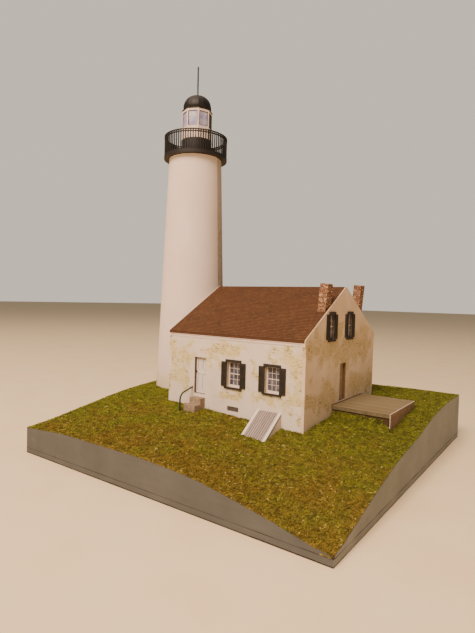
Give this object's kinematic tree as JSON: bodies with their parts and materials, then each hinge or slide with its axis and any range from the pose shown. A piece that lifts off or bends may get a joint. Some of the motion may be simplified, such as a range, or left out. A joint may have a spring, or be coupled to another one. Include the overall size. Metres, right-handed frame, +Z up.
{
  "type": "card model lighthouse",
  "caption": "Tabletop card model of a round white lighthouse joined to a keeper's house, on a plinth with a turf-covered landform.",
  "frame": {"origin": "middle of the base board's underside", "axes": "+X along the house front towards the porch deck, the house front faces -Y, +Z up"},
  "size_m": [0.206, 0.223, 0.2786],
  "materials": {
    "plinth_board": "grey painted board",
    "turf": "dyed turf scatter, green and ochre",
    "edge_card": "matt grey painted card",
    "wall_card": "matt printed card, weathered whitewash",
    "floor_card": "plain grey-brown card",
    "shingle_card": "matt printed card, brown shingle",
    "cornice_card": "matt white card",
    "brick_card": "matt printed card, red brick",
    "door_card": "matt printed card, white door",
    "frame_card": "matt white card",
    "pane_print": "satin printed card, dark panes",
    "shutter_card": "matt printed card, dark olive",
    "vent_card": "matt printed card, grey slats",
    "step_card": "matt printed card, pale stone",
    "green_wire": "dark green enamelled wire",
    "hatch_card": "matt printed card, pale planks",
    "hatch_rail_card": "matt white card strip",
    "deck_card": "matt printed card, weathered boards",
    "skirt_card": "matt printed card, dark boards",
    "tower_card": "matt white card",
    "black_card": "matt black card",
    "lantern_card": "matt white card",
    "lantern_pane_print": "satin printed card, pale violet panes",
    "dome_card": "satin black paper in gores",
    "black_wire": "dark painted wire"
  },
  "bodies": {
    "root": {"base_board": "plinth_board", "landform": "turf", "front_edge_strip": "edge_card", "right_edge_strip": "edge_card", "back_edge_strip": "edge_card", "left_edge_strip": "edge_card", "front_wall": "wall_card", "back_wall": "wall_card", "right_gable_wall": "wall_card", "left_gable_wall": "wall_card", "ground_floor": "floor_card", "attic_floor": "floor_card", "front_roof": "shingle_card", "back_roof": "shingle_card", "front_cornice": "cornice_card", "back_cornice": "cornice_card", "front_chimney": "brick_card", "back_chimney": "brick_card", "front_door": "door_card", "gable_door": "door_card", "front_window_frames": "frame_card", "back_window_frames": "frame_card", "attic_window_frames": "frame_card", "window_panes": "pane_print", "front_shutters": "shutter_card", "back_shutters": "shutter_card", "attic_shutters": "shutter_card", "cellar_vent": "vent_card", "front_steps": "step_card", "handrail": "green_wire", "hatch_sides": "wall_card", "hatch_door": "hatch_card", "hatch_rails": "hatch_rail_card", "deck_boards": "deck_card", "deck_skirt": "skirt_card", "tower_shaft": "tower_card", "gallery_deck": "black_card", "gallery_railing": "black_card", "lantern_drum": "black_card", "lantern_frame": "lantern_card", "lantern_panes": "lantern_pane_print", "lantern_roof": "black_card", "dome": "dome_card", "spire": "black_wire"}
  },
  "joints": []
}
